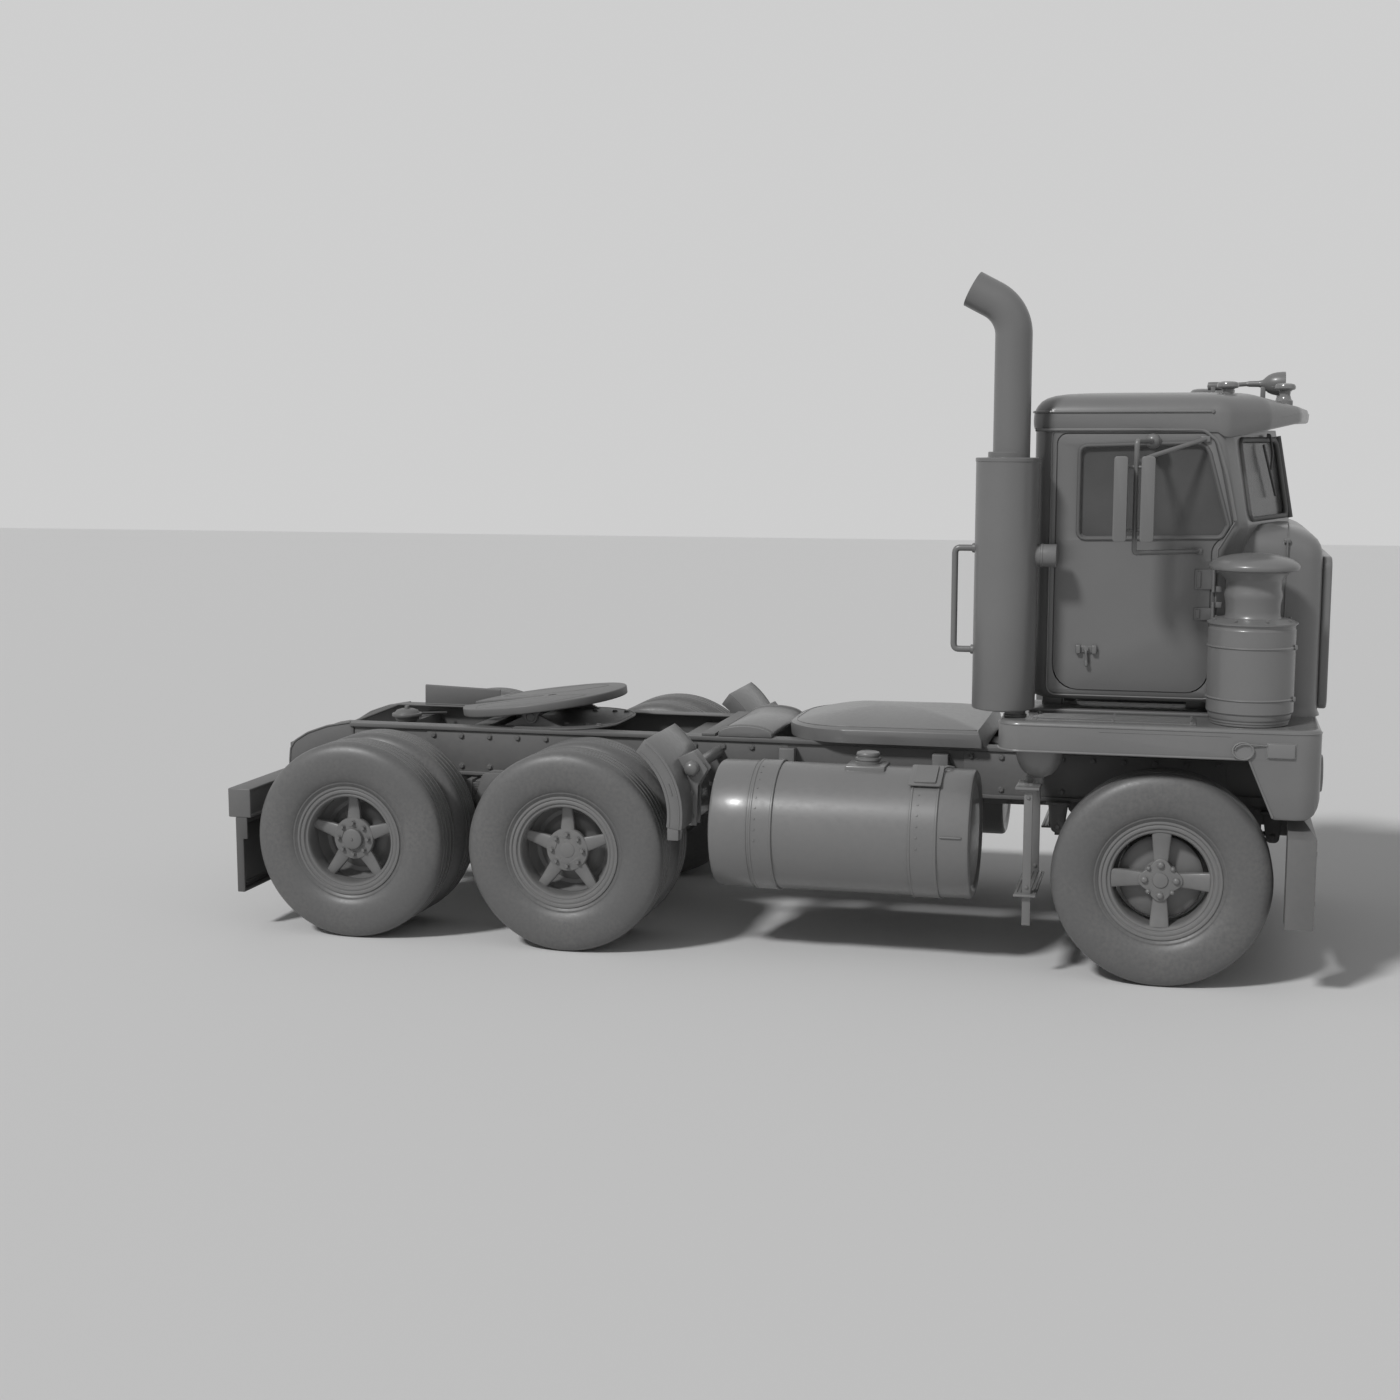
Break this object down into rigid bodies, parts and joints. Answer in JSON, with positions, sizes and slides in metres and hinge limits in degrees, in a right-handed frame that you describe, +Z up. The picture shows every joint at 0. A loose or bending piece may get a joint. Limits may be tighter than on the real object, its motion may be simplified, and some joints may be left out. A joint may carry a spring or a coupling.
{
  "type": "semi truck tractor unit",
  "caption": "Heavy road tractor with a short nose, day cab, twin-tyred driven axles, side tanks, upright exhaust and a tilting fifth wheel.",
  "frame": {"origin": "on the ground at the middle of the truck's footprint", "axes": "+X forward, +Y to the truck's left, +Z up"},
  "size_m": [5.605, 2.58, 3.3921],
  "materials": {
    "body_paint": "satin",
    "chassis_paint": "satin",
    "glass": "clear",
    "cab_plastic": "matt",
    "engine_iron": "matt",
    "exhaust_metal": "satin",
    "tank_metal": "satin",
    "mirror_case": "satin",
    "flap_rubber": "matt",
    "radiator_black": "matt",
    "lamp_lens": "gloss",
    "seat_vinyl": "matt",
    "tyre_rubber": "matt",
    "wheel_paint": "satin"
  },
  "bodies": {
    "chassis": {"air_cleaner_left": "body_paint", "air_cleaner_right": "body_paint", "bumper": "chassis_paint", "cab_glass": "glass", "cab_roof": "body_paint", "cab_shell": "body_paint", "crossmembers": "chassis_paint", "dashboard": "cab_plastic", "drive_axles": "chassis_paint", "drive_shafts": "chassis_paint", "engine_block": "engine_iron", "exhaust_stack": "exhaust_metal", "fender_deck_left": "body_paint", "fender_deck_right": "body_paint", "fifth_wheel_base": "chassis_paint", "frame_covers": "tank_metal", "frame_rails": "chassis_paint", "front_axle_beam": "chassis_paint", "front_springs": "chassis_paint", "fuel_tank_left": "tank_metal", "fuel_tank_right": "tank_metal", "horn": "body_paint", "mudflaps": "flap_rubber", "muffler": "exhaust_metal", "nose_shell": "body_paint", "quarter_fenders": "body_paint", "radiator_core": "radiator_black", "radiator_grille": "body_paint", "rear_crossbar": "chassis_paint", "rear_suspension": "chassis_paint", "roof_lamps": "lamp_lens", "running_lamps": "lamp_lens", "seats": "seat_vinyl", "steering_wheel": "cab_plastic", "steps": "body_paint", "tank_straps": "body_paint"},
    "door_left": {"door_left": "body_paint", "door_glass_left": "glass", "mirror_left": "mirror_case"},
    "door_right": {"door_right": "body_paint", "door_glass_right": "glass", "mirror_right": "mirror_case"},
    "steer_left": {"knuckle_left": "chassis_paint"},
    "steer_right": {"knuckle_right": "chassis_paint"},
    "tie_rod": {"tie_rod": "chassis_paint"},
    "fifth_wheel": {"fifth_wheel_plate": "chassis_paint"},
    "wheel_front_left": {"tyre_front_left": "tyre_rubber", "wheel_front_left": "wheel_paint"},
    "wheel_front_right": {"tyre_front_right": "tyre_rubber", "wheel_front_right": "wheel_paint"},
    "wheels_mid_left": {"tyres_mid_left": "tyre_rubber", "wheels_mid_left": "wheel_paint"},
    "wheels_mid_right": {"tyres_mid_right": "tyre_rubber", "wheels_mid_right": "wheel_paint"},
    "wheels_rear_left": {"tyres_rear_left": "tyre_rubber", "wheels_rear_left": "wheel_paint"},
    "wheels_rear_right": {"tyres_rear_right": "tyre_rubber", "wheels_rear_right": "wheel_paint"}
  },
  "joints": [
    {"name": "door_left_hinge", "type": "hinge", "parent": "chassis", "child": "door_left", "pos_m": [2.2475, 0.874, 1.86], "axis": [0, 0, -1], "range_deg": [0, 65]},
    {"name": "door_right_hinge", "type": "hinge", "parent": "chassis", "child": "door_right", "pos_m": [2.2475, -0.874, 1.86], "axis": [0, 0, 1], "range_deg": [0, 65]},
    {"name": "steer_left", "type": "hinge", "parent": "chassis", "child": "steer_left", "pos_m": [2.0475, 0.9, 0.52], "axis": [0, 0, 1], "range_deg": [-33, 33]},
    {"name": "steer_right", "type": "hinge", "parent": "chassis", "child": "steer_right", "pos_m": [2.0475, -0.9, 0.52], "axis": [0, 0, 1], "range_deg": [-33, 33]},
    {"name": "tie_rod_end", "type": "hinge", "parent": "steer_left", "child": "tie_rod", "pos_m": [1.8775, 0.9, 0.478], "axis": [0, 0, 1], "range_deg": [-33, 33]},
    {"name": "front_left_roll", "type": "hinge", "parent": "steer_left", "child": "wheel_front_left", "pos_m": [2.0475, 0.997, 0.52], "axis": [0, 1, 0], "continuous": true},
    {"name": "front_right_roll", "type": "hinge", "parent": "steer_right", "child": "wheel_front_right", "pos_m": [2.0475, -0.997, 0.52], "axis": [0, 1, 0], "continuous": true},
    {"name": "mid_left_roll", "type": "hinge", "parent": "chassis", "child": "wheels_mid_left", "pos_m": [-0.9125, 0.919, 0.52], "axis": [0, 1, 0], "continuous": true},
    {"name": "mid_right_roll", "type": "hinge", "parent": "chassis", "child": "wheels_mid_right", "pos_m": [-0.9125, -0.919, 0.52], "axis": [0, 1, 0], "continuous": true},
    {"name": "rear_left_roll", "type": "hinge", "parent": "chassis", "child": "wheels_rear_left", "pos_m": [-2.0955, 0.919, 0.52], "axis": [0, 1, 0], "continuous": true},
    {"name": "rear_right_roll", "type": "hinge", "parent": "chassis", "child": "wheels_rear_right", "pos_m": [-2.0955, -0.919, 0.52], "axis": [0, 1, 0], "continuous": true},
    {"name": "fifth_wheel_tilt", "type": "hinge", "parent": "chassis", "child": "fifth_wheel", "pos_m": [-1.3525, 0, 1.092], "axis": [0, 1, 0], "range_deg": [-3.5, 17.5]}
  ],
  "couplings": [
    {"joint": "steer_right", "follows": "steer_left", "ratio": 1},
    {"joint": "tie_rod_end", "follows": "steer_left", "ratio": -1}
  ]
}
